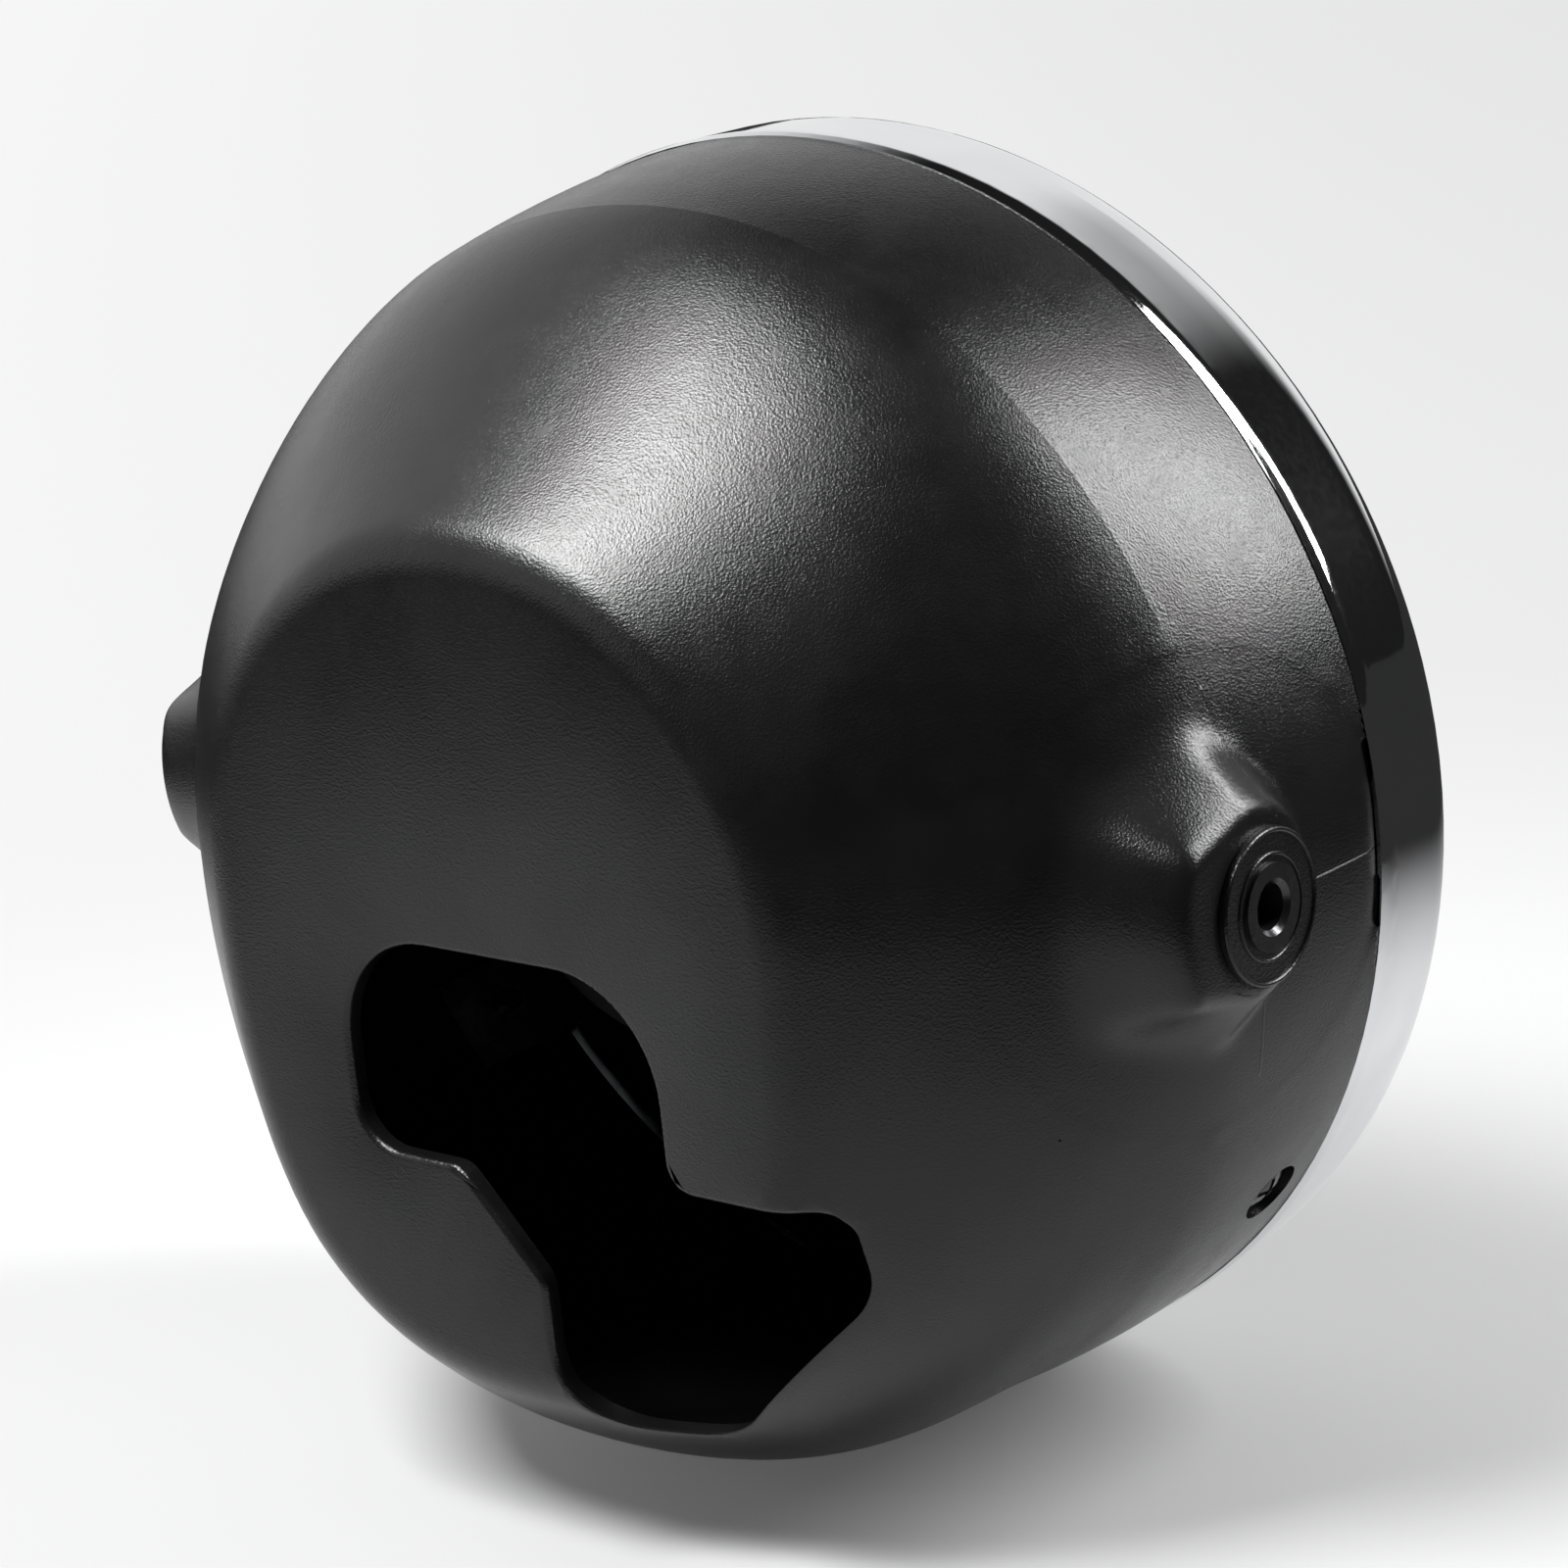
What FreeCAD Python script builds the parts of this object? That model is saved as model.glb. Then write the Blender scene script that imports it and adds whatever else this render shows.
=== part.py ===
import FreeCAD, Part
import os
from math import cos, sin, radians

import Sketcher
from FreeCAD import Placement, Rotation, Vector

# Round motorcycle headlight: a moulded bucket with two side mounts, a plated trim ring on its front,
# and behind the ring a lens and reflector unit with its bulb, all held in the ring.
# +Y is the way the beam goes, +X is the lamp's right side seen from behind, and +Z is up.
# Places along Y are measured from the plane where the ring meets the bucket. At the end every piece
# is moved forward, so that the finished lamp's origin lies halfway between its side mounts.

doc = FreeCAD.newDocument("headlight")
sheet = doc.addObject("Spreadsheet::Sheet", "sizes")

SIZES = [
    # Trim ring, a spun sheet-metal hoop
    ("ring_radius", 100.0),          # outside, at its rear edge
    ("ring_taper", 0.7),             # how much its side draws in
    ("ring_side", 14.0),             # length of its side before the corner
    ("ring_corner", 12.0),           # radius of the corner that turns to the front
    ("ring_bead", 3.0),              # radius of the bead round the lens
    ("ring_lip", 2.5),               # straight lip behind the bead
    ("ring_wall", 1.2),
    ("weld_gap", 0.05),              # film left between pieces that are welded or pressed together
    # Bucket
    ("shell_step", 0.7),             # how far it lies below the ring
    ("shell_wall", 3.0),
    ("spigot_length", 7.0),          # the step that goes inside the ring
    ("spigot_gap", 0.8),
    ("spigot_wall", 3.0),
    ("band_length", 33.0),           # from the ring back to the crease
    ("crease_step", 3.5),            # how far the crease lies inside its front edge
    ("band_bulge", 0.6),             # how far the band stands out over its chord
    ("dome_length", 53.5),           # from the crease back to the flat rear face
    # How far its sections at a quarter, half, three quarters and all of that lie inside the crease
    ("side_one", 4.4),
    ("side_two", 12.2),
    ("side_three", 24.0),
    ("side_end", 41.5),
    ("top_one", 7.0),
    ("top_two", 17.2),
    ("top_three", 27.8),
    ("top_end", 37.8),
    ("bottom_one", -0.7),
    ("bottom_two", 2.0),
    ("bottom_three", 8.9),
    ("bottom_end", 21.6),
    # How full the lower corners of those sections are; an ellipse has 0.7071
    ("round_fullness", 0.7071),
    ("crease_fullness", 0.82),
    ("fullness_one", 0.8),
    ("fullness_two", 0.9),
    ("fullness_three", 0.97),
    ("fullness_end", 1.4),
    ("rear_fillet", 11.0),
    # S-shaped opening in its rear: an upper field to the left and a lower one to the right, with
    # heights measured up from its lowest edge
    ("opening_past", 4.2),           # how far that edge lies below the end of the dome's sections
    ("opening_left", 30.7),
    ("opening_right", 30.6),
    ("opening_top", 73.7),
    ("opening_step_left", 39.2),     # underside of the upper field
    ("opening_step_right", 42.3),    # top of the lower field
    ("opening_out", 59.2),           # outer end of the lower field
    ("opening_slope_top", 27.2),
    ("opening_slope_foot", 31.0),
    ("opening_inner", 3.9),          # inner side of the lower field
    ("opening_bend", 10.6),
    ("opening_bend_high", 23.2),
    ("opening_round", 18.0),         # the top corners of the upper field
    ("opening_slope_round", 13.0),   # the outer corners of the lower field
    ("opening_foot_round", 8.0),     # the lower left corner of the upper field
    ("opening_small_round", 4.8),    # its close corners
    ("opening_depth", 21.5),         # cut forward this far from the rear face
    # Side mounts
    ("mount_back", 33.2),            # from the ring back to the mount's axis
    ("block_high", 5.8),             # from the crease's radius out to the block's flat face
    ("collar_radius", 11.6),
    ("collar_height", 0.9),
    # The block's flat face, from the mount's axis
    ("block_rear", 18.0),            # back to its two rear corners
    ("block_bow", 2.2),              # how far its rear edge bows out behind them
    ("block_rear_top", 12.0),
    ("block_rear_foot", 10.0),
    ("block_shoulder", 3.0),         # back to where its round front begins
    ("block_top", 15.0),
    ("block_foot", 12.8),
    ("block_front", 12.2),
    ("block_depth", 24.0),           # from the face in to its root, inside the bucket
    # How far its waist, halfway in, and its root spread out from the face
    ("waist_rear", 2.6),
    ("waist_corner", 3.0),
    ("waist_flank", 13.5),
    ("waist_front", 9.0),
    ("root_rear", 7.0),
    ("root_corner", 6.0),
    ("root_flank", 30.0),
    ("root_front", 24.0),
    ("block_fillet", 3.0),
    ("bush_radius", 6.5),
    ("bush_bore", 3.4),              # core of an M8 thread
    ("bush_mouth", 4.2),
    ("bush_proud", 0.6),
    ("bush_flange_radius", 9.5),
    ("bush_flange", 2.0),
    ("bush_grip", 13.1),             # from the face in to the pad that the bush's flange bears on
    ("pad_radius", 12.5),
    # Ring fixings
    ("screw_angle", 34.2),           # below the mounts, on both sides
    ("screw_back", 10.0),
    ("screw_head_radius", 4.7),
    ("screw_head", 2.2),
    ("screw_head_side", 0.9),        # its straight part, below the dome
    ("screw_radius", 2.0),
    ("screw_length", 12.5),
    ("screw_floor", 1.9),            # the counterbore's floor, out from the spigot's bore
    ("screw_hole", 2.5),
    ("screw_head_gap", 0.5),
    ("screw_slot", 1.0),
    ("screw_slot_long", 5.0),
    ("screw_slot_deep", 1.3),
    ("bracket_wall", 1.5),
    ("bracket_width", 16.0),
    ("bracket_tail", 17.0),
    ("bracket_clear", 1.7),          # inside the spigot's bore
    ("bracket_gap", 1.1),            # from the spigot's end to the leg
    ("nut_side", 8.0),
    ("nut_high", 4.0),
    ("thread_gap", 0.1),
    ("hook_width", 22.0),
    ("hook_tail", 5.0),
    ("hook_clear", 0.7),
    # Lens and reflector unit
    ("unit_lap", 4.0),               # how far its flange reaches out behind the ring's lip
    ("seal_wall", 2.0),
    ("seal_gap", 0.2),               # between the seal and the lens's side
    ("lens_flange", 4.0),
    ("lens_gap", 0.5),
    ("lens_wall", 4.0),
    ("lens_edge", 4.5),              # rounding of the lens's edge
    ("lens_side", 9.5),              # its side, from its back to the rounding
    ("lens_crown", 8.0),
    ("bowl_inset", 2.3),             # the bowl's rim lies this far inside the ring's lip
    ("bowl_focus", 29.0),
    ("bowl_wall", 2.2),              # measured along the axis
    ("neck_bore", 20.5),
    ("neck_radius", 29.0),
    ("retainer_wall", 1.2),
    ("retainer_lap", 4.3),           # over the reflector's flange
    ("retainer_gap", 1.2),           # inside the ring
    ("retainer_lip", 3.0),
    ("lug_width", 12.0),
    ("lug_inset", 3.6),              # its screw's axis, in from the retaining ring's edge
    ("lug_reach", 3.4),              # from that axis in to the lug's end
    ("lug_turn", 30.0),              # the first lug stands this far above the right mount
    ("lug_bend", 16.0),              # how far up the ring's corner it reaches, in degrees
    ("lug_screw_head", 3.4),
    ("lug_screw_high", 2.2),
    ("lug_screw_radius", 1.5),
    ("lug_screw_length", 5.0),
    # Bulb and its fixings
    ("seat_wall", 1.5),
    ("seat_bore", 19.8),
    ("rivet_circle", 25.6),
    ("rivet_radius", 1.5),
    ("rivet_head", 2.4),
    ("rivet_head_high", 1.0),
    ("rivet_grip", 3.0),             # how far it reaches into the neck
    ("bulb_flange_radius", 21.5),
    ("bulb_flange", 1.2),
    ("bulb_sleeve_radius", 10.8),
    ("bulb_sleeve", 12.0),
    ("bulb_cup_radius", 13.5),
    ("bulb_cup", 8.0),
    ("bulb_wall", 2.0),
    ("capsule_gap", 0.3),
    ("capsule_wall", 1.0),
    ("capsule_length", 38.0),
    ("capsule_dome", 7.0),
    ("capsule_root", 1.5),
    ("cage_radius", 6.0),
    ("cage_plate", 1.2),
    ("cage_post", 0.5),
    ("cage_spread", 3.6),
    ("cage_length", 27.0),
    ("coil_radius", 1.1),
    ("insulator_proud", 5.0),
    ("blade_width", 8.0),
    ("blade_wall", 0.8),
    ("blade_length", 9.0),
    ("blade_offset", 7.0),
    ("clip_wire", 0.7),
    ("clip_radius", 17.6),
    ("clip_leg", 21.0),
    ("boot_wall", 2.2),
    ("boot_gap", 0.2),
    ("boot_inset", 0.8),             # from the insulator's rear end forward to the boot's back
    ("boot_collar", 7.0),
    ("boot_front", 2.5),             # from the neck's rear end forward to the collar's edge
    ("boot_lip", 4.4),               # how much wider than its mouth the back of the boot is
    # Position lamp, under the main bulb
    ("side_lamp_drop", 48.0),
    ("side_lamp_bore", 6.0),
    ("side_lamp_spout", 8.0),        # outside radius of the reflector's spout
    ("side_lamp_reach", 10.0),       # how far the spout stands back from the reflector
    ("side_lamp_gap", 0.3),
    ("side_lamp_collar", 2.0),
    ("side_lamp_ahead", 14.0),       # how far the holder reaches into the spout
    ("side_lamp_bulb", 4.2),
    ("side_lamp_glass", 22.0),
    ("side_lamp_dome", 3.4),
    ("side_lamp_floor", 8.0),        # depth of the holder's socket
]


class Size:
    """A length with its formula, so that a sketch can follow the sheet."""

    def __init__(self, value, text):
        self.value = float(value)
        self.text = text

    def joined(self, other, sign, turned=False):
        other = other if isinstance(other, Size) else Size(other, "%.6g" % other)
        first, second = (other, self) if turned else (self, other)
        results = {
            "+": lambda: first.value + second.value,
            "-": lambda: first.value - second.value,
            "*": lambda: first.value * second.value,
            "/": lambda: first.value / second.value,
        }
        return Size(results[sign](), "(%s %s %s)" % (first.text, sign, second.text))

    def __add__(self, other):
        return self.joined(other, "+")

    def __radd__(self, other):
        return self.joined(other, "+", True)

    def __sub__(self, other):
        return self.joined(other, "-")

    def __rsub__(self, other):
        return self.joined(other, "-", True)

    def __mul__(self, other):
        return self.joined(other, "*")

    def __rmul__(self, other):
        return self.joined(other, "*", True)

    def __truediv__(self, other):
        return self.joined(other, "/")

    def __neg__(self):
        return self.joined(-1, "*")


class Sheet:
    """The driving sizes by name."""


d = Sheet()
for row, (name, number_in_cell) in enumerate(SIZES, start=1):
    sheet.set("A%d" % row, name)
    sheet.set("B%d" % row, "%g" % number_in_cell)
    sheet.setAlias("B%d" % row, name)
    setattr(d, name, Size(number_in_cell, "sizes." + name))
doc.recompute()

ZERO = Size(0, "0")
THIRDS = (0, 120, 240)               # degrees round the lamp's axis


def number(length):
    return length.value if isinstance(length, Size) else float(length)


def new_body(label):
    body = doc.addObject("PartDesign::Body", label)
    body.Label = label
    return body


def plane(body, role):
    return [item for item in body.Origin.OriginFeatures if item.Role == role][0]


def bind(target, path, length):
    """Ties a property to the sheet, where its size comes from there."""
    if isinstance(length, Size):
        target.setExpression(path, length.text)


def new_sketch(body, role, offset=(0, 0, 0)):
    sketch = body.newObject("Sketcher::SketchObject", "outline")
    sketch.AttachmentSupport = (plane(body, role), [""])
    sketch.MapMode = "FlatFace"
    sketch.AttachmentOffset = Placement(Vector(*[number(part) for part in offset]), Rotation())
    for letter, part in zip("xyz", offset):
        bind(sketch, ".AttachmentOffset.Base." + letter, part)
    return sketch


def hold(sketch, geometry, end, point):
    """Holds one end of a line or arc at its named place."""
    for kind, length, axis in (("DistanceX", point[0], -2), ("DistanceY", point[1], -1)):
        if number(length) == 0:
            sketch.addConstraint(Sketcher.Constraint("PointOnObject", geometry, end, axis))
        else:
            index = sketch.addConstraint(
                Sketcher.Constraint(kind, -1, 1, geometry, end, number(length)))
            bind(sketch, "Constraints[%d]" % index, length)


def crown(start, top):
    """A point halfway up a shallow dome, or close to it."""
    return (start[0] / 2, top - (top - start[1]) / 4)


def flat(point):
    return Vector(number(point[0]), number(point[1]), 0)


def draw(sketch, points):
    """Draws a closed outline. A point marked ("arc", middle) makes the next stretch an arc, and one
    marked ("dome", middle) an arc that is centred on the upright axis and only near its middle."""
    corners = []
    middles = {}
    domes = set()
    for point in points:
        if point[0] in ("arc", "dome"):
            middles[len(corners) - 1] = point[1]
            if point[0] == "dome":
                domes.add(len(corners) - 1)
        else:
            corners.append(point)
    ends = []
    for i, corner in enumerate(corners):
        start, stop = flat(corner), flat(corners[(i + 1) % len(corners)])
        if i in middles:
            middle = flat(middles[i])
            turn = (middle - start).cross(stop - middle).z
            index = sketch.addGeometry(Part.Arc(start, middle, stop), False)
            ends.append((index, 1, 2) if turn > 0 else (index, 2, 1))
        else:
            index = sketch.addGeometry(Part.LineSegment(start, stop), False)
            ends.append((index, 1, 2))
    for i, corner in enumerate(corners):
        following = ends[(i + 1) % len(corners)]
        sketch.addConstraint(
            Sketcher.Constraint("Coincident", ends[i][0], ends[i][2], following[0], following[1]))
        hold(sketch, ends[i][0], ends[i][1], corner)
    for i, middle in middles.items():
        if i in domes:
            sketch.addConstraint(Sketcher.Constraint("PointOnObject", ends[i][0], 3, -2))
            continue
        index = sketch.addGeometry(Part.Point(flat(middle)), True)
        hold(sketch, index, 1, middle)
        sketch.addConstraint(Sketcher.Constraint("PointOnObject", index, 1, ends[i][0]))
    return sketch


def circle(sketch, centre, radius):
    index = sketch.addGeometry(
        Part.Circle(flat(centre), Vector(0, 0, 1), number(radius)), False)
    hold(sketch, index, 3, centre)
    row_index = sketch.addConstraint(Sketcher.Constraint("Radius", index, number(radius)))
    bind(sketch, "Constraints[%d]" % row_index, radius)
    return sketch


def oblong(width, height, middle=(ZERO, ZERO)):
    """The corners of a rectangle about its middle."""
    left, right = middle[0] - width / 2, middle[0] + width / 2
    low, high = middle[1] - height / 2, middle[1] + height / 2
    return [(left, low), (right, low), (right, high), (left, high)]


def around(centre, radius, degrees):
    """A point on a circle."""
    return (centre[0] + radius * round(cos(radians(degrees)), 6),
            centre[1] + radius * round(sin(radians(degrees)), 6))


def turned(body, points, offset=(0, 0, 0), cut=False, degrees=360):
    """Turns an outline of radius and place along Y round that axis, to add or to cut."""
    sketch = draw(new_sketch(body, "XY_Plane", offset), points)
    feature = body.newObject("PartDesign::Groove" if cut else "PartDesign::Revolution", "turned")
    feature.Profile = sketch
    feature.ReferenceAxis = (sketch, ["V_Axis"])
    feature.Angle = number(degrees)
    bind(feature, "Angle", degrees)
    feature.Midplane = number(degrees) < 360
    feature.Refine = False
    return feature


def turned_part(label, points, offset=(0, 0, 0), degrees=360):
    body = new_body(label)
    turned(body, points, offset, degrees=degrees)
    return body


def extruded(body, sketch, length, backwards=False, both=False, cut=False):
    """Pads a sketch along its plane's normal, or pockets it the other way."""
    feature = body.newObject("PartDesign::Pocket" if cut else "PartDesign::Pad", "extruded")
    feature.Profile = sketch
    feature.Length = number(length)
    bind(feature, "Length", length)
    feature.Reversed = backwards
    feature.Midplane = both
    feature.Refine = False
    return feature


def edges(feature, test):
    """Names of the edges whose boxes pass a test."""
    doc.recompute()
    return ["Edge%d" % (i + 1) for i, edge in enumerate(feature.Shape.Edges) if test(edge.BoundBox)]


def filleted(body, names, radius):
    base = body.Tip
    fillet = body.newObject("PartDesign::Fillet", "fillet")
    fillet.Base = (base, names)
    fillet.Refine = False
    fillet.Radius = number(radius)
    bind(fillet, "Radius", radius)


def joined(body, tool, kind="Fuse"):
    """Joins another body to this one, or cuts it out of it."""
    result = body.newObject("PartDesign::Boolean", "joined")
    result.Type = kind
    result.Refine = False
    result.setObjects([tool])
    return result


def cut_by(body, tool):
    return joined(body, tool, "Cut")


def spun(degrees):
    """A turn about the lamp's axis that carries +X up towards +Z."""
    return Placement(Vector(0, 0, 0), Rotation(Vector(0, 1, 0), -number(degrees)))


def facing(direction, back):
    """Where a piece turned about +Y goes so that it points out along X, a length behind the ring."""
    return Placement(Vector(0, -number(back), 0), Rotation(Vector(0, 0, 1), -90 * direction))


def group(label, solids):
    """Separate solids of one kind in one piece's file."""
    holder = doc.addObject("Part::Feature", label)
    holder.Label = label
    holder.Shape = Part.makeCompound(solids)
    return holder


def copies(label, master, places):
    """A group of placed copies of one solid."""
    doc.recompute()
    solids = []
    for place in places:
        solid = master.Shape.copy()
        solid.Placement = place.multiply(solid.Placement)
        solids.append(solid)
    return group(label, solids)


parts = []

# Trim ring: spun from sheet, its side drawn in, turned over to the front and back in a bead round
# the lens.
corner = (d.ring_radius - d.ring_taper - d.ring_corner, d.ring_side)
bead = (corner[0], d.ring_side + d.ring_corner - d.ring_bead)
ring_edge = corner[0] - d.ring_bead
ring_bore = d.ring_radius - d.ring_wall
lip_end = bead[1] - d.ring_lip
outer_corner = d.ring_corner
inner_corner = d.ring_corner - d.ring_wall
inner_bead = d.ring_bead - d.ring_wall
parts.append(turned_part("trim_ring", [
    (d.ring_radius, ZERO),
    around(corner, outer_corner, 0),
    ("arc", around(corner, outer_corner, 45)),
    around(corner, outer_corner, 90),
    ("arc", around(bead, d.ring_bead, 135)),
    around(bead, d.ring_bead, 180),
    (ring_edge, lip_end),
    (ring_edge + d.ring_wall, lip_end),
    around(bead, inner_bead, 180),
    ("arc", around(bead, inner_bead, 135)),
    around(bead, inner_bead, 90),
    ("arc", around(corner, inner_corner, 45)),
    around(corner, inner_corner, 0),
    (ring_bore, ZERO),
]))


def ring_inside(along):
    """Radius of the ring's bore at a place on its side."""
    return ring_bore - d.ring_taper * along / d.ring_side


# Bucket: a flared band behind the ring, then a dome whose oval sections drop towards a flat rear
# face, with a block on each side for the mount and an S-shaped opening for the wiring.
spigot_radius = ring_bore - d.spigot_gap
spigot_bore = spigot_radius - d.spigot_wall
shell_front = d.ring_radius - d.shell_step
crease = shell_front - d.crease_step
crease_y = -d.band_length
ring_station = (ZERO, [shell_front] * 3, d.round_fullness)
band_station = (d.band_length / 2, [(shell_front + crease) / 2 + d.band_bulge] * 3,
                (d.round_fullness + d.crease_fullness) / 2)
crease_station = (d.band_length, [crease] * 3, d.crease_fullness)
dome_stations = [crease_station]
for part_way, insets, fullness in (
        (0.25, (d.side_one, d.top_one, d.bottom_one), d.fullness_one),
        (0.5, (d.side_two, d.top_two, d.bottom_two), d.fullness_two),
        (0.75, (d.side_three, d.top_three, d.bottom_three), d.fullness_three),
        (1, (d.side_end, d.top_end, d.bottom_end), d.fullness_end)):
    dome_stations.append((d.band_length + d.dome_length * part_way,
                          [crease - inset for inset in insets], fullness))


def quarter(across, up, fullness, spread):
    """The point at a share of the way round a quarter of a section, from its side to its top."""
    ends = (1 - spread) ** 2, spread ** 2
    pull = 2 * fullness * spread * (1 - spread)
    whole = sum(ends) + pull
    return across * (ends[0] + pull) / whole, up * (ends[1] + pull) / whole


def section(back, reaches, fullness, thinner=ZERO):
    """A closed cross-section of the bucket, its upper quarters elliptical."""
    side, top, bottom = [number(reach - thinner) for reach in reaches]
    shares = [i / 4 for i in range(4)]
    lower = [quarter(side, bottom, number(fullness), share) for share in shares + [1]]
    upper = [quarter(side, top, d.round_fullness.value, share) for share in shares + [1]]
    outline = [(x, z) for x, z in upper[:-1]] + [(-x, z) for x, z in upper[:0:-1]]
    outline += [(-x, -z) for x, z in lower[:-1]] + [(x, -z) for x, z in lower[:0:-1]]
    curve = Part.BSplineCurve()
    curve.interpolate([Vector(x, -number(back), z) for x, z in outline], PeriodicFlag=True)
    holder = doc.addObject("Part::Feature", "section")
    holder.Shape = curve.toShape()
    return holder


def lofted(label, sections):
    """A body that holds a loft through closed sections."""
    loft = doc.addObject("Part::Loft", label + "_loft")
    loft.Sections = sections
    loft.Solid = True
    doc.recompute()
    body = new_body(label)
    body.BaseFeature = loft
    return body


def dome(label, thinner):
    """The dome, drawn in by a wall, with the edge of its flat rear face rounded."""
    sections = [section(*station, thinner) for station in dome_stations[:-1]]
    back, reaches, fullness = dome_stations[-1]
    sections.append(section(back - thinner, reaches, fullness, thinner))
    body = lofted(label, sections)
    end = number(thinner - back)
    filleted(body, edges(body.Tip, lambda box: abs(box.YMin - end) + abs(box.YMax - end) < 0.01),
             d.rear_fillet - thinner)
    return body


shell = dome("rear_shell", ZERO)
joined(shell, lofted("band", [section(*ring_station), section(*band_station),
                              section(*crease_station)]))
turned(shell, [
    (ZERO, d.spigot_length),
    (spigot_radius, d.spigot_length),
    (spigot_radius, -d.spigot_wall),
    (ZERO, -d.spigot_wall),
])

# The S-shaped opening, cut straight forward through the rear face and its lower corner
lowest = d.bottom_end - crease - d.opening_past
upper_top = lowest + d.opening_top
lower_top = lowest + d.opening_step_right
upper_foot = lowest + d.opening_step_left
slope_top = lowest + d.opening_slope_top
bend = lowest + d.opening_bend_high
cutter = new_body("opening_cutter")
cutter_back = d.band_length + d.dome_length + 1
extruded(cutter, draw(new_sketch(cutter, "XZ_Plane", (0, 0, cutter_back)), [
    (-d.opening_left, upper_top),
    (d.opening_right, upper_top),
    (d.opening_right, lower_top),
    (d.opening_out, lower_top),
    (d.opening_out, slope_top),
    (d.opening_slope_foot, lowest),
    (d.opening_inner, lowest),
    (d.opening_inner, bend),
    (-d.opening_bend, upper_foot),
    (-d.opening_left, upper_foot),
]), d.opening_depth + 1, backwards=True)


def upright_edges(places):
    """Edges of the cutter that run forward from the named corners."""
    spots = [flat(place) for place in places]
    return edges(cutter.Tip, lambda box: box.YLength > 1 and any(
        abs(box.XMin - spot.x) + abs(box.ZMin - spot.y) < 0.01 for spot in spots))


for radius, places in (
        (d.opening_round, [(-d.opening_left, upper_top), (d.opening_right, upper_top)]),
        (d.opening_slope_round, [(d.opening_out, slope_top), (d.opening_slope_foot, lowest),
                                 (d.opening_inner, lowest)]),
        (d.opening_foot_round, [(-d.opening_left, upper_foot)]),
        (d.opening_small_round, [(d.opening_right, lower_top), (d.opening_out, lower_top),
                                 (d.opening_inner, bend), (-d.opening_bend, upper_foot)])):
    filleted(cutter, upright_edges(places), radius)
cut_by(shell, cutter)

# Mount blocks, cast up from the band to a flat face with a round collar
def block_outline(rear=ZERO, corner=ZERO, flank=ZERO, front=ZERO):
    """The block's outline from its mount's axis, each of its sides spread out by a length."""
    return [
        (-d.block_rear - rear, -d.block_rear_foot - corner),
        ("arc", (-d.block_rear - d.block_bow - rear, ZERO)),
        (-d.block_rear - rear, d.block_rear_top + corner),
        (-d.block_shoulder, d.block_top + flank),
        ("arc", (d.block_front + front, ZERO)),
        (-d.block_shoulder, -d.block_foot - flank),
    ]


mount_face = crease + d.block_high
block_root = mount_face - d.block_depth
block_sections = [
    (block_root, block_outline(d.root_rear, d.root_corner, d.root_flank, d.root_front)),
    (mount_face - d.block_depth / 2,
     block_outline(d.waist_rear, d.waist_corner, d.waist_flank, d.waist_front)),
    (mount_face, block_outline()),
]
for side in (1, -1):
    block = shell.newObject("PartDesign::AdditiveLoft", "block")
    sketches = [draw(new_sketch(shell, "YZ_Plane", (-d.mount_back, 0, side * out)), outline)
                for out, outline in block_sections]
    block.Profile = sketches[0]
    block.Sections = sketches[1:]
    block.Refine = False
    at = side * number(mount_face)
    filleted(shell, edges(block, lambda box: abs(box.XMin - at) + abs(box.XMax - at) < 0.01),
             d.block_fillet)
    collar = circle(new_sketch(shell, "YZ_Plane", (-d.mount_back, 0, side * block_root)),
                    (ZERO, ZERO), d.collar_radius)
    extruded(shell, collar, d.block_depth + d.collar_height, backwards=side < 0)

# Its hollow, a wall's thickness inside
turned(shell, [
    (ZERO, d.spigot_length + 1),
    (spigot_bore, d.spigot_length + 1),
    (spigot_bore, -d.spigot_wall),
    (ZERO, -d.spigot_wall),
], cut=True)
cut_by(shell, lofted("band_hollow", [section(ZERO, [spigot_bore - d.shell_step] * 3,
                                             d.round_fullness),
                                     section(*crease_station, d.shell_wall)]))
cut_by(shell, dome("shell_hollow", d.shell_wall))

# A pad inside each mount, and the bore for its metal bush
bush_end = mount_face + d.collar_height + d.bush_proud
bush_seat = mount_face - d.bush_grip
for side in (1, -1):
    pad = circle(new_sketch(shell, "YZ_Plane", (-d.mount_back, 0, side * bush_seat)),
                 (ZERO, ZERO), d.pad_radius)
    extruded(shell, pad, crease - bush_seat, backwards=side < 0)
    bore = circle(new_sketch(shell, "YZ_Plane", (-d.mount_back, 0, side * bush_end)),
                  (ZERO, ZERO), d.bush_radius + d.weld_gap)
    extruded(shell, bore, bush_end - bush_seat + d.bush_flange, backwards=side < 0, cut=True)

# Counterbored holes for the two ring screws
screw_seat = spigot_bore + d.screw_floor
screw_turns = {"right": -d.screw_angle, "left": d.screw_angle - 180}
head_bore = d.screw_head_radius + d.screw_head_gap
for turn in screw_turns.values():
    drill = turned_part("screw_drill", [
        (ZERO, spigot_bore - d.shell_wall),
        (d.screw_hole, spigot_bore - d.shell_wall),
        (d.screw_hole, screw_seat),
        (head_bore, screw_seat),
        (head_bore, d.ring_radius),
        (ZERO, d.ring_radius),
    ])
    drill.Placement = spun(turn).multiply(facing(1, d.screw_back))
    cut_by(shell, drill)
parts.append(shell)

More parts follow.
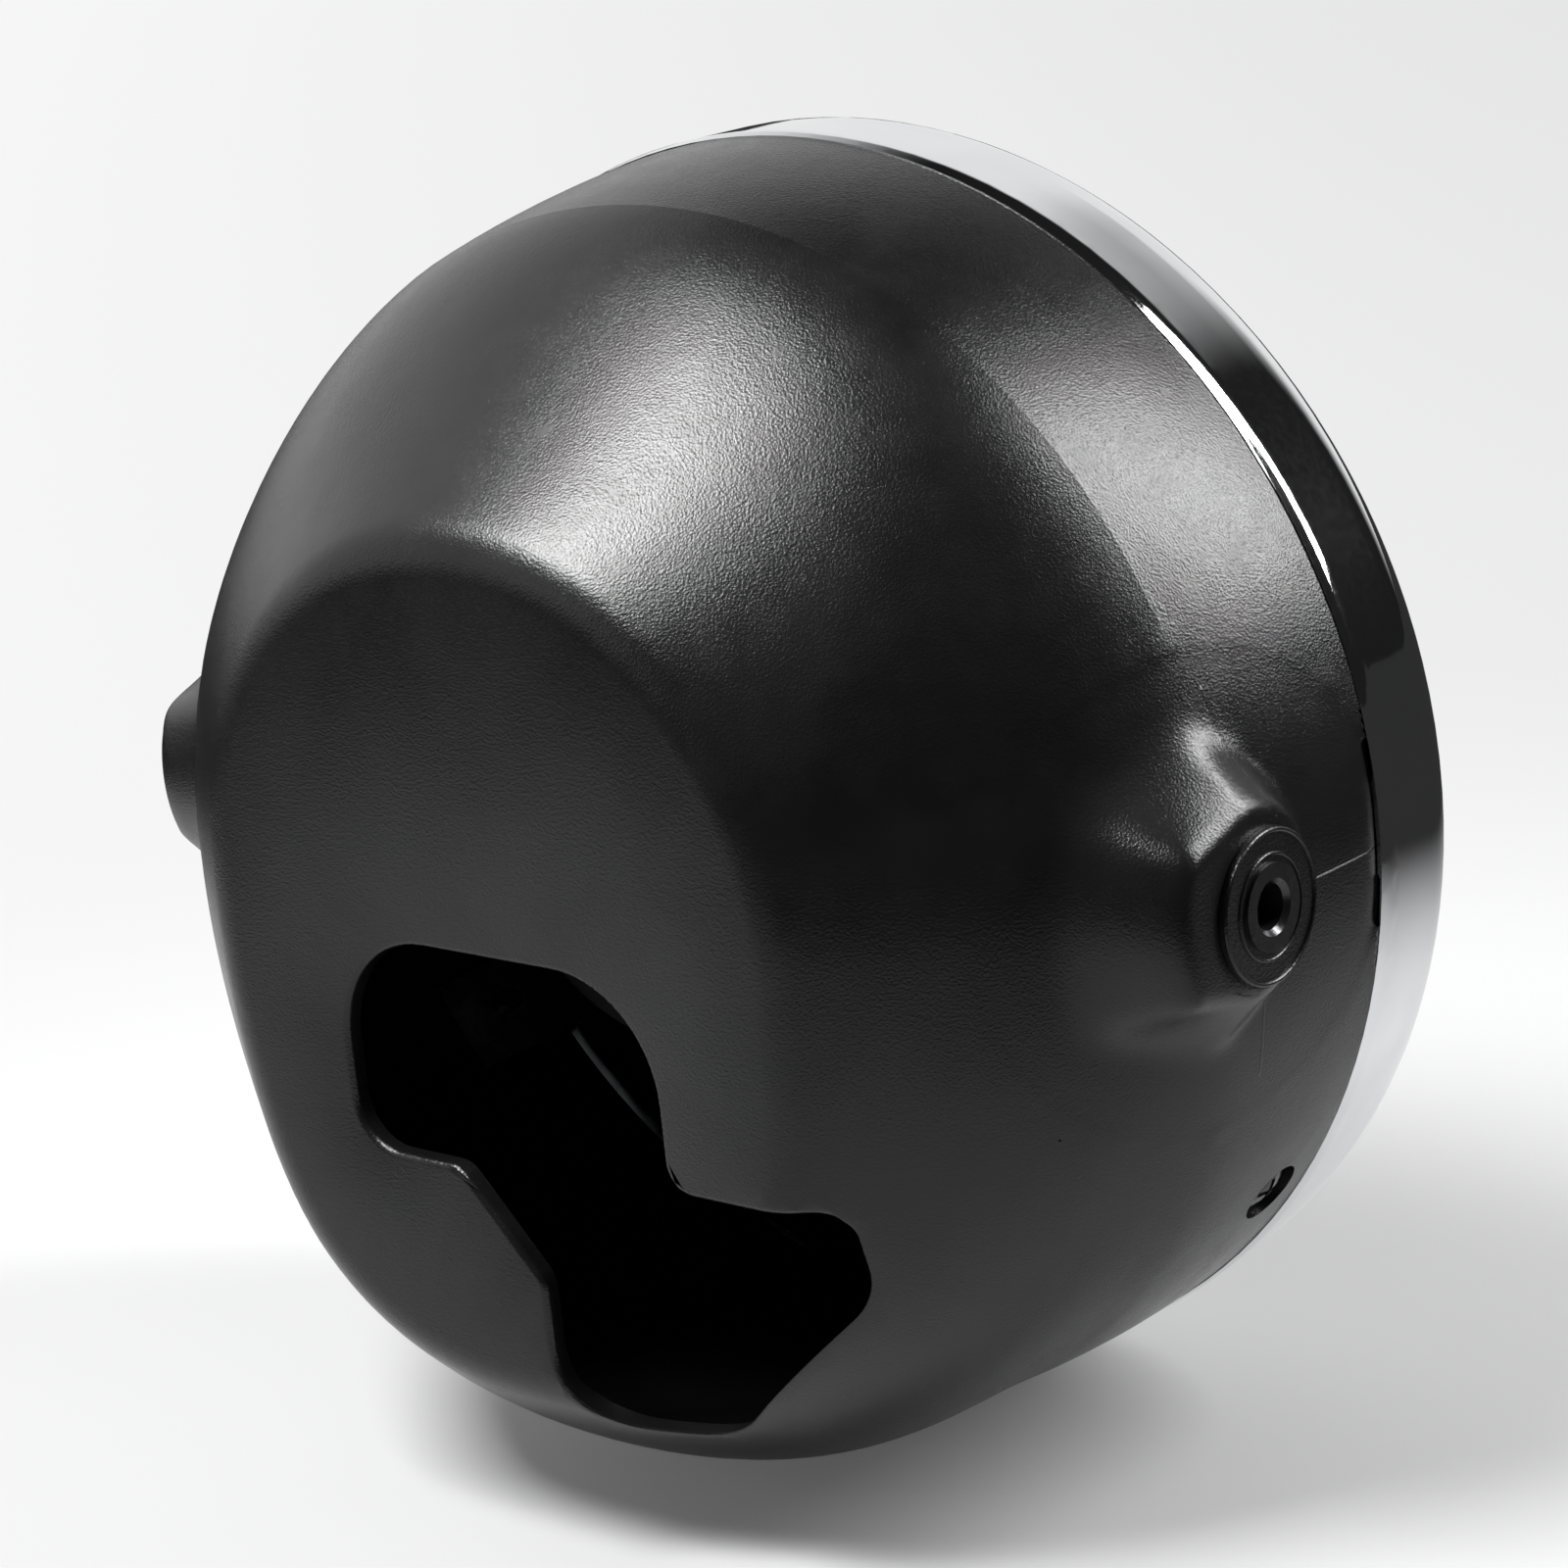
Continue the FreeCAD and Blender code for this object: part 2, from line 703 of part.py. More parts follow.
# Hook and brackets: steel strips welded inside the ring. The hook catches the bucket's rim at the
# top, and each bracket holds the nut of a ring screw.
leg_back = d.spigot_length + d.bracket_gap
leg_front = leg_back + d.bracket_wall
weld_radius = ring_inside(leg_front) - d.weld_gap
hook_radius = spigot_bore - d.hook_clear
bracket_radius = spigot_bore - d.bracket_clear
DEGREES = 57.2958                    # in a radian


def strip(label, radius, tail, width, turn):
    """An L-shaped strip, bent out to the ring."""
    body = turned_part(label, [
        (radius - d.bracket_wall, -tail),
        (radius, -tail),
        (radius, leg_back),
        (weld_radius, leg_back),
        (weld_radius, leg_front),
        (radius - d.bracket_wall, leg_front),
    ], degrees=width / radius * DEGREES)
    body.Placement = spun(turn)
    return body


parts.append(strip("ring_hook", hook_radius, d.hook_tail, d.hook_width, 90))
for name, turn in screw_turns.items():
    bracket = strip(name + "_ring_bracket", bracket_radius, d.bracket_tail, d.bracket_width, turn)
    hole = circle(new_sketch(bracket, "YZ_Plane", (0, 0, bracket_radius)),
                  (-d.screw_back, ZERO), d.screw_radius + d.thread_gap)
    extruded(bracket, hole, d.bracket_wall * 2, cut=True)
    parts.append(bracket)

# Square nuts, welded under the brackets
bracket_inside = bracket_radius - d.bracket_wall
nut_top = bracket_inside - d.nut_side * d.nut_side / (8 * bracket_inside) - d.weld_gap
nut = new_body("nut")
extruded(nut, draw(new_sketch(nut, "XZ_Plane", (0, 0, -nut_top)), oblong(d.nut_side, d.nut_side)),
         d.nut_high)
extruded(nut, circle(new_sketch(nut, "XZ_Plane", (0, 0, -nut_top)),
                     (ZERO, ZERO), d.screw_radius + d.thread_gap),
         d.nut_high, backwards=True, cut=True)
screw_places = [spun(turn).multiply(facing(1, d.screw_back)) for turn in screw_turns.values()]
parts.append(copies("ring_nuts", nut, screw_places))

# Ring screws: domed heads with a cross recess, sunk in the bucket's side
screw_top = screw_seat + d.screw_head
screw_edge = screw_seat + d.screw_head_side
screw = turned_part("screw", [
    (ZERO, screw_seat - d.screw_length),
    (d.screw_radius, screw_seat - d.screw_length),
    (d.screw_radius, screw_seat),
    (d.screw_head_radius, screw_seat),
    (d.screw_head_radius, screw_edge),
    ("dome", crown((d.screw_head_radius, screw_edge), screw_top)),
    (ZERO, screw_top),
])
arm, half = d.screw_slot_long / 2, d.screw_slot / 2
cross = []
for x, y in ((1, 1), (-1, 1), (-1, -1), (1, -1)):
    turn = [(arm * x, half * y), (half * x, half * y), (half * x, arm * y)]
    cross += turn if x == y else turn[::-1]
slot = draw(new_sketch(screw, "XZ_Plane", (0, 0, -screw_top - d.screw_slot)), cross)
extruded(screw, slot, d.screw_slot_deep + d.screw_slot, backwards=True, cut=True)
parts.append(copies("ring_screws", screw, screw_places))

# Metal bushes of the side mounts, pushed through from inside, with a tapped bore
for side, name in ((1, "right"), (-1, "left")):
    bush = turned_part(name + "_mount_bush", [
        (d.bush_bore, bush_seat - d.bush_flange),
        (d.bush_flange_radius, bush_seat - d.bush_flange),
        (d.bush_flange_radius, bush_seat),
        (d.bush_radius, bush_seat),
        (d.bush_radius, bush_end),
        (d.bush_mouth, bush_end),
        (d.bush_bore, bush_end - d.bush_mouth + d.bush_bore),
    ])
    bush.Placement = facing(side, d.mount_back)
    parts.append(bush)

# Lens: its flange is pressed forward against a seal behind the ring's lip
lens_front = lip_end - d.seal_wall
lens_back = lens_front - d.lens_flange
lens_radius = ring_edge - d.lens_gap
unit_radius = ring_edge + d.unit_lap
bowl_radius = ring_edge - d.bowl_inset
parts.append(turned_part("lens_seal", [
    (lens_radius + d.seal_gap, lens_front),
    (unit_radius, lens_front),
    (unit_radius, lip_end),
    (lens_radius + d.seal_gap, lip_end),
]))
side_end = (lens_radius, lens_back + d.lens_side)
crown_start = (lens_radius - d.lens_edge, side_end[1] + d.lens_edge)
inside_start = (crown_start[0] - d.lens_wall / 2, crown_start[1] - d.lens_wall)
inside_end = (lens_radius - d.lens_wall, side_end[1] - d.lens_wall / 2)
crown_top = crown_start[1] + d.lens_crown


parts.append(turned_part("headlamp_lens", [
    (unit_radius, lens_back),
    (unit_radius, lens_front),
    (lens_radius, lens_front),
    side_end,
    ("arc", around((crown_start[0], side_end[1]), d.lens_edge, 45)),
    crown_start,
    ("dome", crown(crown_start, crown_top)),
    (ZERO, crown_top),
    (ZERO, crown_top - d.lens_wall),
    ("dome", crown(inside_start, crown_top - d.lens_wall)),
    inside_start,
    inside_end,
    (inside_end[0], lens_back),
]))

# Reflector: a pressed parabolic bowl with a neck for the bulb and a spout for the position lamp
vertex = lens_back - bowl_radius * bowl_radius / (4 * d.bowl_focus)
neck_end = vertex


def parabola(radius, back=ZERO):
    return (radius, vertex - back + radius * radius / (4 * d.bowl_focus))


def parabola_arcs(inner, outer, back=ZERO, count=3):
    """A stretch of the bowl as arcs, each through three of its points, from inside to outside."""
    points = []
    step = (outer - inner) / count
    for i in range(count):
        points.append(parabola(inner + step * i, back))
        points.append(("arc", parabola(inner + step * (i + 0.5), back)))
    return points + [parabola(outer, back)]


bowl = new_body("reflector_bowl")
turned(bowl, [(ZERO, neck_end), (d.neck_radius, neck_end)]
       + parabola_arcs(d.neck_radius, bowl_radius, d.bowl_wall)
       + [(unit_radius, lens_back - d.bowl_wall), (unit_radius, lens_back), (ZERO, lens_back)])
spout_root = parabola(d.side_lamp_drop, d.bowl_wall)[1]
spout_end = spout_root - d.side_lamp_reach
spout_place = (ZERO, -d.side_lamp_drop)
spout_length = parabola(d.side_lamp_drop + d.side_lamp_spout)[1] - spout_end
extruded(bowl, circle(new_sketch(bowl, "XZ_Plane", (0, 0, -spout_end)),
                      spout_place, d.side_lamp_spout), spout_length, backwards=True)
turned(bowl, [(ZERO, neck_end - 1), (d.neck_bore, neck_end - 1)]
       + parabola_arcs(d.neck_bore, bowl_radius)
       + [(bowl_radius, lens_back + 1), (ZERO, lens_back + 1)], cut=True)
extruded(bowl, circle(new_sketch(bowl, "XZ_Plane", (0, 0, -spout_end)),
                      spout_place, d.side_lamp_bore), spout_length, cut=True)

# Retaining ring behind the reflector's flange, its inner edge turned back, screwed to three lugs
# that are welded inside the trim ring
retainer_front = lens_back - d.bowl_wall
retainer_back = retainer_front - d.retainer_wall
retainer_bore = unit_radius - d.retainer_lap
retainer_radius = ring_inside(retainer_front) - d.retainer_gap
lug_circle = retainer_radius - d.lug_inset
lug_turns = [d.lug_turn + third for third in THIRDS]
lug_places = [spun(turn) for turn in lug_turns]
retainer = turned_part("retaining_ring", [
    (retainer_bore, retainer_back - d.retainer_lip),
    (retainer_bore + d.retainer_wall, retainer_back - d.retainer_lip),
    (retainer_bore + d.retainer_wall, retainer_back),
    (retainer_radius, retainer_back),
    (retainer_radius, retainer_front),
    (retainer_bore, retainer_front),
])
lug_hole = d.lug_screw_radius + d.thread_gap
for turn in lug_turns:
    place = around((ZERO, ZERO), lug_circle, number(turn))
    extruded(retainer, circle(new_sketch(retainer, "XZ_Plane", (0, 0, -retainer_back)),
                              place, lug_hole), d.retainer_wall, cut=True)
parts.append(retainer)

lug_inner = lug_circle - d.lug_reach
lug_round = inner_corner - d.weld_gap
lug_top = around(corner, lug_round, d.lug_bend.value)
lug = turned_part("lug", [
    (lug_inner, retainer_front),
    (ring_inside(retainer_front) - d.weld_gap, retainer_front),
    around(corner, lug_round, 0),
    ("arc", around(corner, lug_round, d.lug_bend.value / 2)),
    lug_top,
    (lug_inner, lug_top[1]),
], degrees=d.lug_width / lug_circle * DEGREES)
extruded(lug, circle(new_sketch(lug, "XZ_Plane", (0, 0, -retainer_front)),
                     (lug_circle, ZERO), lug_hole), lug_top[1] - retainer_front, cut=True)
parts.append(copies("ring_lugs", lug, lug_places))
head_back = retainer_back - d.lug_screw_high
parts.append(copies("retaining_screws", turned_part("lug_screw", [
    (ZERO, head_back),
    (d.lug_screw_head, head_back),
    (d.lug_screw_head, retainer_back),
    (d.lug_screw_radius, retainer_back),
    (d.lug_screw_radius, retainer_back + d.lug_screw_length),
    (ZERO, retainer_back + d.lug_screw_length),
], offset=(lug_circle, 0, 0)), lug_places))

# Bulb seat: a steel ring riveted to the reflector's neck
seat_back = neck_end - d.seat_wall
rivet_tip = neck_end + d.rivet_grip
rivet_turns = [90 + third for third in THIRDS]
rivet_places = [spun(turn) for turn in rivet_turns]
seat = turned_part("bulb_seat", [
    (d.seat_bore, seat_back),
    (d.neck_radius, seat_back),
    (d.neck_radius, neck_end),
    (d.seat_bore, neck_end),
])
rivet_hole = d.rivet_radius + d.weld_gap
for turn in rivet_turns:
    place = around((ZERO, ZERO), d.rivet_circle, turn)
    for body, back, depth in ((seat, seat_back, d.seat_wall), (bowl, neck_end, d.rivet_grip)):
        extruded(body, circle(new_sketch(body, "XZ_Plane", (0, 0, -back)), place, rivet_hole),
                 depth, cut=True)
parts.append(bowl)
parts.append(seat)
parts.append(copies("seat_rivets", turned_part("rivet", [
    (ZERO, seat_back - d.rivet_head_high),
    (d.rivet_head, seat_back - d.rivet_head_high),
    (d.rivet_head, seat_back),
    (d.rivet_radius, seat_back),
    (d.rivet_radius, rivet_tip),
    (ZERO, rivet_tip),
], offset=(d.rivet_circle, 0, 0)), rivet_places))

# Bulb: a metal base with a flange that bears on the seat, a glass capsule with its filament, and an
# insulator with three blades
flange_back = seat_back - d.bulb_flange
sleeve_bore = d.bulb_sleeve_radius - d.bulb_wall
cup_bore = d.bulb_cup_radius - d.bulb_wall
cup_end = flange_back - d.bulb_cup
parts.append(turned_part("bulb_base", [
    (sleeve_bore, seat_back + d.bulb_sleeve),
    (d.bulb_sleeve_radius, seat_back + d.bulb_sleeve),
    (d.bulb_sleeve_radius, seat_back),
    (d.bulb_flange_radius, seat_back),
    (d.bulb_flange_radius, flange_back),
    (d.bulb_cup_radius, flange_back),
    (d.bulb_cup_radius, cup_end),
    (cup_bore, cup_end),
    (cup_bore, flange_back),
    (sleeve_bore, flange_back),
]))
insulator_radius = cup_bore - d.weld_gap
insulator_end = cup_end - d.insulator_proud
parts.append(turned_part("bulb_insulator", [
    (ZERO, insulator_end),
    (insulator_radius, insulator_end),
    (insulator_radius, flange_back),
    (ZERO, flange_back),
]))
blade_places = [
    ((ZERO, d.blade_offset), (d.blade_width, d.blade_wall)),
    ((d.blade_offset, ZERO), (d.blade_wall, d.blade_width)),
    ((-d.blade_offset, ZERO), (d.blade_wall, d.blade_width)),
]
blade_solids = []
for (across, up), (width, height) in blade_places:
    blade = new_body("blade")
    extruded(blade, draw(new_sketch(blade, "XZ_Plane", (0, 0, -insulator_end)),
                         oblong(width, height, (across, up))), d.blade_length)
    doc.recompute()
    blade_solids.append(blade.Shape)
parts.append(group("bulb_terminals", blade_solids))

capsule_radius = sleeve_bore - d.capsule_gap
capsule_bore = capsule_radius - d.capsule_wall
glass_top = flange_back + d.capsule_length
glass_shoulder = glass_top - d.capsule_dome
cage_root = flange_back + d.capsule_root

parts.append(turned_part("bulb_capsule", [
    (ZERO, flange_back),
    (capsule_radius, flange_back),
    (capsule_radius, glass_shoulder),
    ("dome", crown((capsule_radius, glass_shoulder), glass_top)),
    (ZERO, glass_top),
    (ZERO, glass_top - d.capsule_wall),
    ("dome", crown((capsule_bore, glass_shoulder), glass_top - d.capsule_wall)),
    (capsule_bore, glass_shoulder),
    (capsule_bore, cage_root),
    (ZERO, cage_root),
]))
cage = turned_part("filament_cage", [
    (ZERO, cage_root),
    (d.cage_radius, cage_root),
    (d.cage_radius, cage_root + d.cage_plate),
    (ZERO, cage_root + d.cage_plate),
])
for side in (1, -1):
    post = circle(new_sketch(cage, "XZ_Plane", (0, 0, -cage_root)),
                  (side * d.cage_spread, ZERO), d.cage_post)
    extruded(cage, post, d.cage_length, backwards=True)
coil_y = cage_root + d.cage_length - d.coil_radius
extruded(cage, circle(new_sketch(cage, "YZ_Plane"), (coil_y, ZERO), d.coil_radius),
         d.cage_spread * 2, both=True)
parts.append(cage)

# Wire spring that presses the bulb's flange on its seat
wire_y = flange_back - d.clip_wire
clip = new_body("bulb_spring_clip")
bend = clip.newObject("PartDesign::Revolution", "bend")
bend.Profile = circle(new_sketch(clip, "XY_Plane"), (d.clip_radius, wire_y), d.clip_wire)
bend.ReferenceAxis = (bend.Profile[0], ["V_Axis"])
bend.Angle = 180
for side in (1, -1):
    leg = circle(new_sketch(clip, "XY_Plane"), (side * d.clip_radius, wire_y), d.clip_wire)
    extruded(clip, leg, d.clip_leg)
    foot = circle(new_sketch(clip, "XZ_Plane", (0, 0, -wire_y)),
                  (side * d.clip_radius, d.clip_leg - d.clip_wire), d.clip_wire)
    extruded(clip, foot, seat_back - wire_y, backwards=True)
parts.append(clip)

# Rubber boot over the neck, gripping the bulb's insulator
boot_inside = d.neck_radius + d.boot_gap
boot_mouth = insulator_radius + d.boot_gap
boot_back = insulator_end + d.boot_inset
collar_back = neck_end + d.boot_front - d.boot_collar
parts.append(turned_part("dust_boot", [
    (boot_inside, neck_end + d.boot_front),
    (boot_inside + d.boot_wall, neck_end + d.boot_front),
    (boot_inside + d.boot_wall, collar_back),
    (boot_mouth + d.boot_lip, boot_back),
    (boot_mouth, boot_back),
    (boot_mouth, boot_back + d.boot_wall),
    (boot_mouth + d.boot_lip - d.boot_wall, boot_back + d.boot_wall),
    (boot_inside, collar_back + d.boot_wall / 2),
]))

# Position lamp: a holder pushed into the spout, and its bulb
holder_place = (0, 0, -d.side_lamp_drop)
holder_radius = d.side_lamp_bore - d.side_lamp_gap
holder_front = spout_end + d.side_lamp_ahead
socket_floor = holder_front - d.side_lamp_floor
glass_radius = d.side_lamp_bulb
parts.append(turned_part("position_lamp_holder", [
    (ZERO, spout_end - d.side_lamp_collar),
    (d.side_lamp_spout, spout_end - d.side_lamp_collar),
    (d.side_lamp_spout, spout_end),
    (holder_radius, spout_end),
    (holder_radius, holder_front),
    (glass_radius + d.side_lamp_gap, holder_front),
    (glass_radius + d.side_lamp_gap, socket_floor),
    (ZERO, socket_floor),
], offset=holder_place))
lamp_top = socket_floor + d.side_lamp_glass
parts.append(turned_part("position_lamp_bulb", [
    (ZERO, socket_floor),
    (glass_radius, socket_floor),
    (glass_radius, lamp_top - d.side_lamp_dome),
    ("dome", crown((glass_radius, lamp_top - d.side_lamp_dome), lamp_top)),
    (ZERO, lamp_top),
], offset=holder_place))

to_mounts = Placement(Vector(0, number(d.mount_back), 0), Rotation())
for part in parts:
    part.Placement = to_mounts.multiply(part.Placement)
doc.recompute()
for item in doc.Objects:
    if "Invalid" in item.State or "Error" in item.State:
        raise RuntimeError("%s failed: %s" % (item.Name, item.getStatusString()))
for part in parts:
    if part.Shape.isNull() or not part.Shape.isValid():
        raise RuntimeError("%s has no sound shape" % part.Label)

os.makedirs("parts", exist_ok=True)
for part in parts:
    print(part.Label, len(part.Shape.Solids), round(part.Shape.Volume))
    part.Shape.exportStep("parts/%s.step" % part.Label)
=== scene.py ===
import math

import bmesh
import bpy
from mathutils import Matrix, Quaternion, Vector


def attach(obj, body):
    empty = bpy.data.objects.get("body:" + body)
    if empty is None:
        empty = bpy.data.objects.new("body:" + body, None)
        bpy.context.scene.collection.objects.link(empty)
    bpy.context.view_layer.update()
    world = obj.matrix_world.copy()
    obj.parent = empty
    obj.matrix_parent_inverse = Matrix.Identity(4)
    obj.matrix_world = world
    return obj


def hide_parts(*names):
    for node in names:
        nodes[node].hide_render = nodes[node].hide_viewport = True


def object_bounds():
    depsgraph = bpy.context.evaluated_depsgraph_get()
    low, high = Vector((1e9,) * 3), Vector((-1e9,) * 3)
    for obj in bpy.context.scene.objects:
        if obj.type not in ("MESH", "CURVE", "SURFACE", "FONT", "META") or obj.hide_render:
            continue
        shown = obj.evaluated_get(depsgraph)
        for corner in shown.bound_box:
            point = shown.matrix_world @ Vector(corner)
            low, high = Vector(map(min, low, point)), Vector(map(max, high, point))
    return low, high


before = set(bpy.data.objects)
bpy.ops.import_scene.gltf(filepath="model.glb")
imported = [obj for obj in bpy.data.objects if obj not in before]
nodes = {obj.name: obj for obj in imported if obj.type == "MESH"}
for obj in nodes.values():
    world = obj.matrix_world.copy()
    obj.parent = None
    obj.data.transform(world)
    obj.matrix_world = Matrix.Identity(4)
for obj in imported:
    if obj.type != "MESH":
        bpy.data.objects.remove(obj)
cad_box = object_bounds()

bpy.ops.object.select_all(action="DESELECT")


# The bucket is one moulding in black plastic, with the fine leather grain of its mould. The mounts
# grow out of it on wide soft feet, and the lip of its wiring opening is rounded.
class Socket:
    """A value in a material. Arithmetic on it adds the nodes that work it out."""

    def __init__(self, tree, output):
        self.tree = tree
        self.output = output

    @staticmethod
    def node(tree, kind, settings, values, output=0):
        """One output of a new node that has these settings, values and linked sockets."""
        made = tree.nodes.new(kind)
        for name, setting in settings.items():
            setattr(made, name, setting)
        for name, value in values.items():
            if isinstance(value, Socket):
                tree.links.new(value.output, made.inputs[name])
            else:
                made.inputs[name].default_value = value
        return Socket(tree, made.outputs[output])

    def math(self, operation, *values):
        """What this operation makes of these values and sockets."""
        inputs = dict(enumerate(values))
        return self.node(self.tree, "ShaderNodeMath", {"operation": operation}, inputs)

    def __add__(self, other):
        return self.math("ADD", self, other)

    __radd__ = __add__

    def __sub__(self, other):
        return self.math("SUBTRACT", self, other)

    def __rsub__(self, other):
        return self.math("SUBTRACT", other, self)

    def __mul__(self, other):
        return self.math("MULTIPLY", self, other)

    __rmul__ = __mul__

    def span(self, low, high):
        """From low to high as this value goes from 0 to 1."""
        return self * (high - low) + low

    def part(self, axis):
        """One of a vector's three numbers."""
        return self.node(self.tree, "ShaderNodeSeparateXYZ", {}, {0: self}, output=axis)

    def shift(self, place):
        """This place, measured from another."""
        settings = {"operation": "SUBTRACT"}
        return self.node(self.tree, "ShaderNodeVectorMath", settings, {0: self, 1: place})

    def length(self):
        """How long this vector is."""
        settings = {"operation": "LENGTH"}
        return self.node(self.tree, "ShaderNodeVectorMath", settings, {0: self}, output="Value")

    def noise(self, scale, detail=2.0, roughness=0.5):
        """Soft noise from 0 to 1, with about this many waves in a metre."""
        return self.node(
            self.tree,
            "ShaderNodeTexNoise",
            {},
            {"Vector": self, "Scale": scale, "Detail": detail, "Roughness": roughness},
        )

    def cells(self, scale):
        """The distance to the middle of the nearest cell, with this many cells in a metre."""
        return self.node(self.tree, "ShaderNodeTexVoronoi", {}, {"Vector": self, "Scale": scale})

    def step(self, low, high):
        """0 below low, 1 above high and smooth between them."""
        return self.node(
            self.tree,
            "ShaderNodeMapRange",
            {"interpolation_type": "SMOOTHSTEP"},
            {"Value": self, "From Min": low, "From Max": high},
        )

    def between(self, first, second):
        """The colour from first to second as this value goes from 0 to 1."""
        return self.node(
            self.tree,
            "ShaderNodeMix",
            {"data_type": "RGBA"},
            {"Factor": self, 6: (*first, 1), 7: (*second, 1)},
            output=2,
        )

    def bump(self, depth, strength=1.0):
        """A normal from this height, which is depth metres deep."""
        return self.node(
            self.tree,
            "ShaderNodeBump",
            {},
            {"Height": self, "Distance": depth, "Strength": strength},
        )


class Finish:
    """A node material: its place on the object, and the shader's own sockets."""

    def __init__(self, name, **sockets):
        self.material = bpy.data.materials.new(name)
        self.material.use_nodes = True
        tree = self.material.node_tree
        self.shader = tree.nodes["Principled BSDF"]
        self.place = Socket.node(tree, "ShaderNodeTexCoord", {}, {}, output="Object")
        self.set(**sockets)

    def set(self, **sockets):
        """Give the shader's sockets these numbers, colours or sockets."""
        for name, value in sockets.items():
            socket = self.shader.inputs[name.replace("_", " ")]
            if isinstance(value, Socket):
                self.place.tree.links.new(value.output, socket)
            elif isinstance(value, tuple):
                socket.default_value = (*value, 1)
            else:
                socket.default_value = value


def paint(piece, finish):
    """The piece takes this finish all over."""
    piece.data.materials.clear()
    piece.data.materials.append(finish.material)


# How close, in metres, two points count as one and a point counts as lying in a plane
SAME_POINT = 2e-6
SAME_PLANE = 1e-5


def joined_copy(node, name):
    """A copy of a CAD node with its loose triangles joined, which stands for that node."""
    piece = bpy.data.objects.new(name, nodes[node].data.copy())
    bpy.context.scene.collection.objects.link(piece)
    mesh = bmesh.new()
    mesh.from_mesh(piece.data)
    bmesh.ops.remove_doubles(mesh, verts=mesh.verts, dist=SAME_POINT)
    mesh.to_mesh(piece.data)
    mesh.free()
    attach(piece, "root")
    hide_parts(node)
    return piece


def choose(piece, kind, test):
    """In edit mode, select the faces or corners of the piece that pass the test."""
    bpy.ops.mesh.select_mode(type=kind)
    mesh = bmesh.from_edit_mesh(piece.data)
    for face in mesh.faces:
        face.select_set(kind == "FACE" and test(face.calc_center_median(), face.normal))
    for corner in mesh.verts if kind == "VERT" else ():
        corner.select_set(test(corner.co, corner.normal))
    mesh.select_flush(True)
    bmesh.update_edit_mesh(piece.data)


# The lip lies behind LIP_BACK, where a face that looks back meets one along the lamp's axis
LIP_BACK = -0.02
LIP_ROUND = 0.001
LIP_SEGMENTS = 3
FACES_BACK = -0.3
ALONG_AXIS = 0.02


def on_lip(edge):
    """Whether an edge runs round the outside of the wiring opening."""
    if len(edge.link_faces) != 2 or max(end.co.y for end in edge.verts) > LIP_BACK:
        return False
    outside, inside = sorted(edge.link_faces, key=lambda face: face.normal.y)
    return outside.normal.y < FACES_BACK and abs(inside.normal.y) < ALONG_AXIS


bucket = joined_copy("rear_shell", "bucket_moulding")
bucket.select_set(True)
bpy.context.view_layer.objects.active = bucket
bpy.ops.object.mode_set(mode="EDIT")
bpy.ops.mesh.select_mode(type="EDGE")
mesh = bmesh.from_edit_mesh(bucket.data)
for edge in mesh.edges:
    edge.select_set(on_lip(edge))
bmesh.update_edit_mesh(bucket.data)
bpy.ops.mesh.bevel(offset=LIP_ROUND, segments=LIP_SEGMENTS, clamp_overlap=False)
bpy.ops.object.mode_set(mode="OBJECT")
bucket.select_set(False)

# Over each mount a round net is pressed sideways onto the bucket and smoothed, most at the foot.
# Each zone runs from one distance from the mount's axis to another, FOOT_DEPTH is how far out the
# foot begins, and the eases count the smoothing passes
NET_SPOKES = 180
NET_INNER = 0.01175
NET_OUTER = 0.039
NET_STEP = 0.0007
NET_START = 0.12
NET_LIFT = 0.00005
BLOCK_ZONE = (0.0127, 0.036)
FOOT_ZONE = (0.0205, 0.036)
COVERED_ZONE = (0.0133, 0.036)
FOOT_DEPTH = 0.074
EASE_SHARE = 0.5
FOOT_EASE = 26
BLOCK_EASE = 5


def near_mount(side, zone):
    """A test for what lies outside the bucket, that far from the axis of this side's mount."""
    return lambda place, normal: (
        side * place.x > FOOT_DEPTH
        and side * normal.x > 0
        and zone[0] < math.hypot(place.y, place.z) < zone[1]
    )


